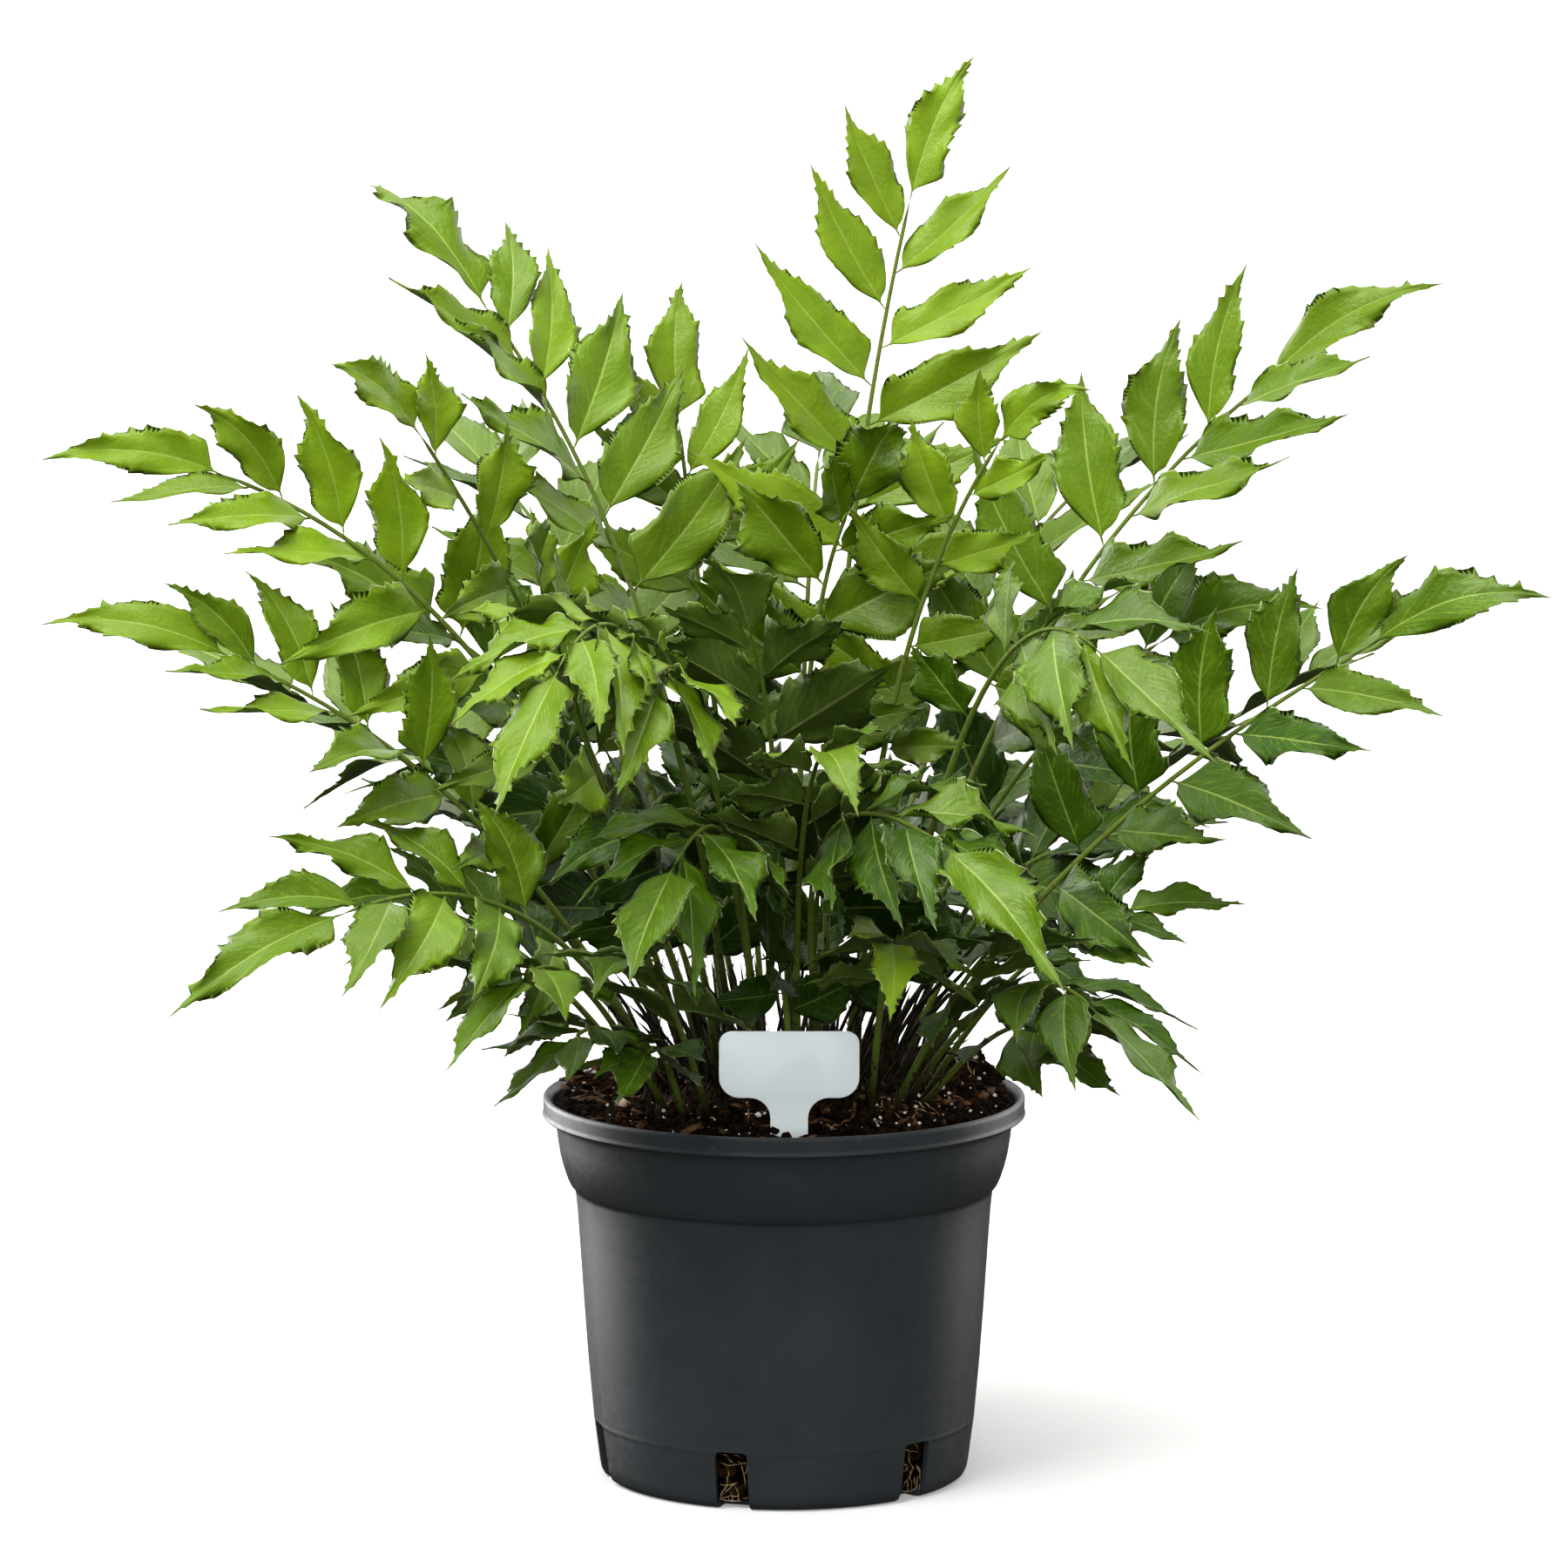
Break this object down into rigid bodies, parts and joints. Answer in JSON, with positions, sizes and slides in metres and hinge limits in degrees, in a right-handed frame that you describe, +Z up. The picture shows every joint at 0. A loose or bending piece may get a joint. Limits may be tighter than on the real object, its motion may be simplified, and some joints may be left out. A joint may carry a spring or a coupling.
{
  "type": "potted fortunes holly fern",
  "caption": "Young holly fern with arching fronds of toothed, sickle-shaped leaflets, growing in a round nursery pot with a bare plant label.",
  "frame": {"origin": "centre of the pot's flat base, on the surface that the pot stands on", "axes": "+Z up; the plant label stands at the front and faces -Y; +X is to the right of someone who faces it"},
  "size_m": [0.5801, 0.496, 0.5547],
  "materials": {
    "pot": "satin",
    "mix": "matte",
    "crown": "matte",
    "label": "satin",
    "frond": "satin"
  },
  "bodies": {
    "root": {"nursery_pot": "pot", "potting_mix": "mix", "fern_crown": "crown", "plant_label": "label", "frond_tall": "frond", "frond_left_top": "frond", "frond_left_high": "frond", "frond_left_mid": "frond", "frond_left_low": "frond", "frond_left_small": "frond", "frond_soil_left": "frond", "frond_right_top": "frond", "frond_right_mid": "frond", "frond_right_low": "frond", "frond_right_bottom": "frond", "frond_front_right": "frond", "frond_front_low_right": "frond", "frond_front_low_left": "frond", "frond_front_left": "frond", "frond_front_mid": "frond", "frond_left_light": "frond", "frond_left_inner": "frond", "frond_right_light": "frond", "frond_centre_back": "frond", "frond_front_centre": "frond", "frond_centre_small": "frond", "frond_inner_left": "frond", "frond_inner_right": "frond", "frond_inner_front": "frond", "frond_inner_centre": "frond", "frond_low_left": "frond", "frond_low_right": "frond", "frond_low_front": "frond", "frond_back_left_low": "frond", "frond_back_left_high": "frond", "frond_back_high": "frond", "frond_back_low": "frond", "frond_back_right_high": "frond", "frond_back_right_low": "frond", "frond_back_left_side": "frond", "frond_back_right_side": "frond", "frond_back_centre_low": "frond", "frond_back_small": "frond", "frond_soil_front": "frond", "frond_behind_label": "frond", "frond_soil_right": "frond", "frond_mid_left": "frond", "frond_mid_centre": "frond", "frond_mid_right": "frond", "frond_deep_left": "frond", "frond_deep_right": "frond", "frond_deep_centre": "frond", "frond_deep_back_left": "frond", "frond_deep_back_right": "frond"}
  },
  "joints": []
}
